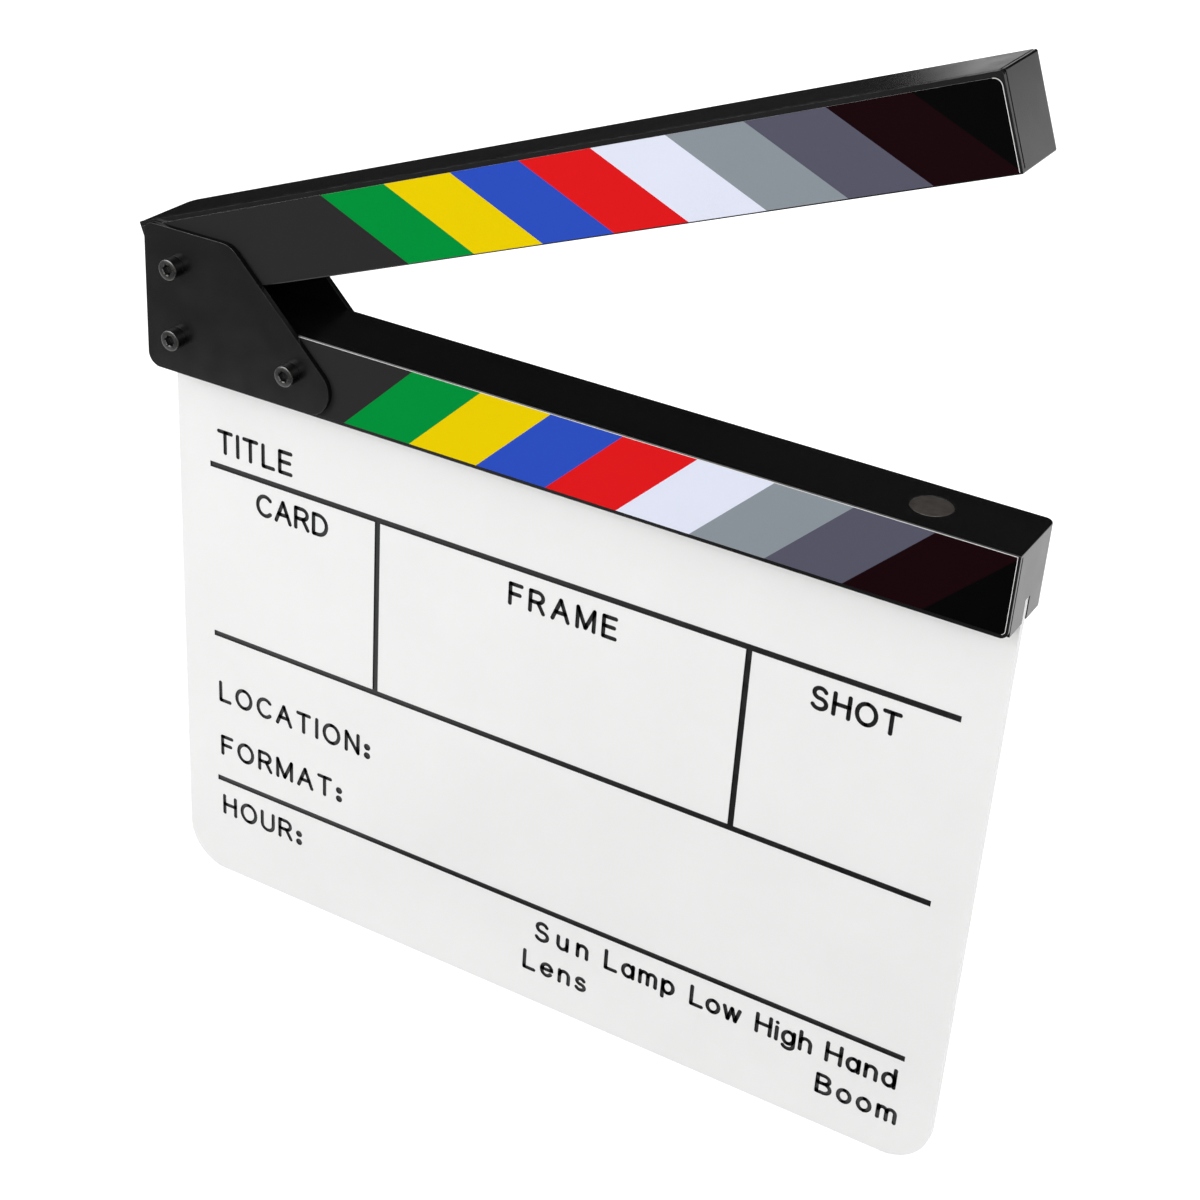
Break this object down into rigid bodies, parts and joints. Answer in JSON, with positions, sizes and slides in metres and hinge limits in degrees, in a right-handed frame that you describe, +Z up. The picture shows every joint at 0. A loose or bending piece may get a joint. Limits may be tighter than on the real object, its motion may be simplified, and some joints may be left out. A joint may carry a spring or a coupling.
{
  "type": "clapperboard",
  "caption": "Film slate: milky acrylic board in a folded black stick, with a striped upper stick hinged at the left on screws between side plates.",
  "frame": {"origin": "middle of the board's lower edge, in the board's mid-plane", "axes": "+X to the reader's right along the board, +Y away from the reader, +Z up towards the sticks"},
  "size_m": [0.3042, 0.0417, 0.3598],
  "materials": {
    "acrylic": "milky white, satin face",
    "black_sheet": "black powder coat",
    "label_print": "printed vinyl stripes",
    "black_screw": "black oxide",
    "zinc_steel": "zinc plated",
    "bush_brass": "turned",
    "nylon": "black nylon",
    "magnet": "dull nickel plate",
    "cup_steel": "pressed steel"
  },
  "bodies": {
    "base": {"board": "acrylic", "lower_stick": "black_sheet", "front_hinge_plate": "black_sheet", "rear_hinge_plate": "black_sheet", "lower_label": "label_print", "pivot_screw": "black_screw", "fixing_screws": "black_screw", "pivot_washer": "zinc_steel", "pivot_nut": "zinc_steel", "fixing_washers": "zinc_steel", "fixing_nuts": "zinc_steel", "pivot_bush": "bush_brass", "front_thrust_washer": "nylon", "rear_thrust_washer": "nylon", "front_spacers": "nylon", "rear_spacers": "nylon", "lower_magnet": "magnet", "lower_magnet_cup": "cup_steel"},
    "upper_arm": {"upper_stick": "black_sheet", "upper_label": "label_print", "upper_magnet": "magnet", "upper_magnet_cup": "cup_steel"}
  },
  "joints": [
    {"name": "clap_hinge", "type": "hinge", "parent": "base", "child": "upper_arm", "pos_m": [-0.138, 0, 0.2433], "axis": [0, -1, 0], "range_deg": [-20.85, 69.15]}
  ]
}
